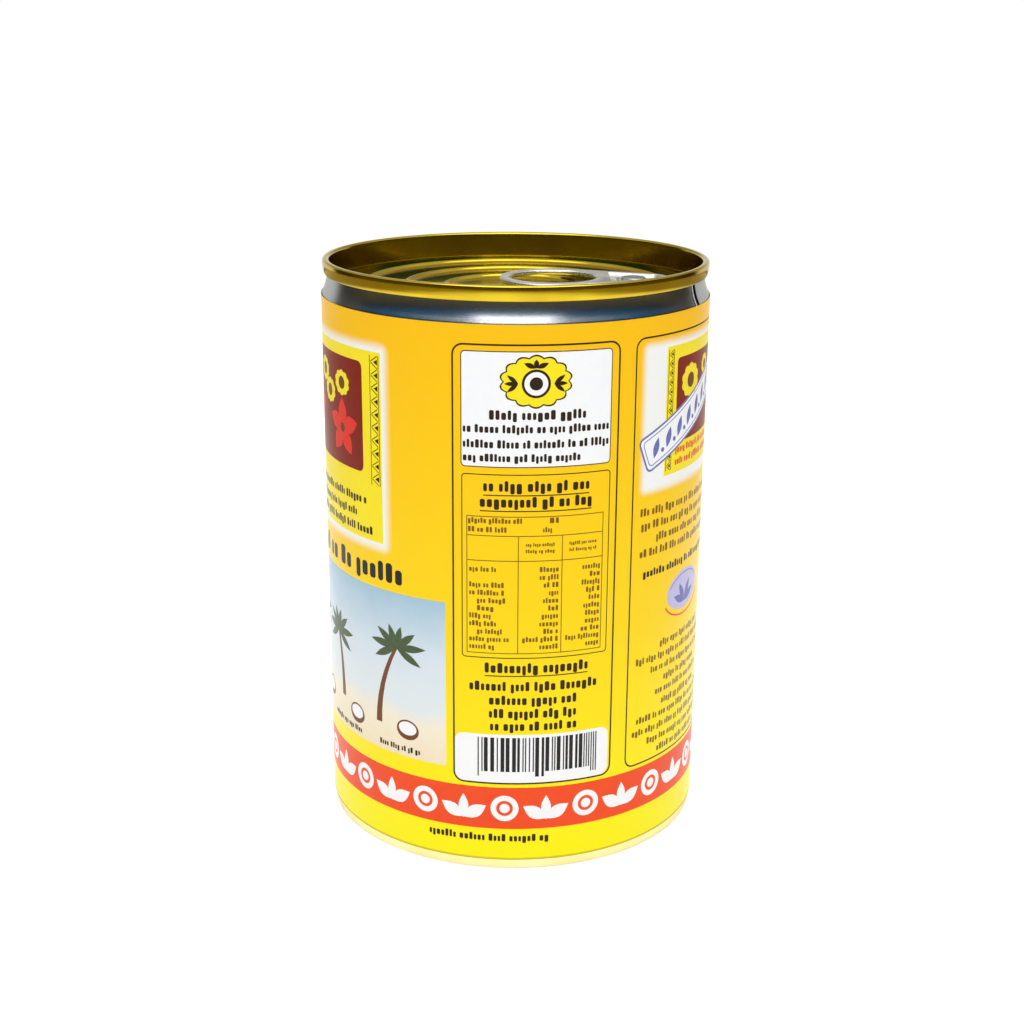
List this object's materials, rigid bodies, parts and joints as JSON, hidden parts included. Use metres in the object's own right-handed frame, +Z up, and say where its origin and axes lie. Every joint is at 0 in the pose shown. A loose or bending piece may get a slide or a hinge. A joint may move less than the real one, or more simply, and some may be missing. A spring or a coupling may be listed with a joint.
{
  "type": "coconut cream can",
  "caption": "Shut tinplate food can of coconut cream, necked at both ends, with a double-seamed gold easy-open lid, a ring pull, a plain bottom end and a wrap-round paper label.",
  "frame": {"origin": "centre of the circle that the lower seam stands on, at the ground", "axes": "+Z up along the can's axis, -Y out of the middle of the print that faces the viewer, +X the way the ring pull points"},
  "size_m": [0.0734, 0.0734, 0.109],
  "materials": {
    "tinplate": "bright rolled tinplate",
    "gold_lacquer": "clear gold lacquer over tinplate",
    "tab_aluminium": "rolled and curled aluminium sheet",
    "label_paper": "coated paper, printed and varnished"
  },
  "bodies": {
    "root": {"can_body": "tinplate", "top_end": "gold_lacquer", "bottom_end": "gold_lacquer", "pull_tab": "tab_aluminium", "paper_label": "label_paper"}
  },
  "joints": []
}
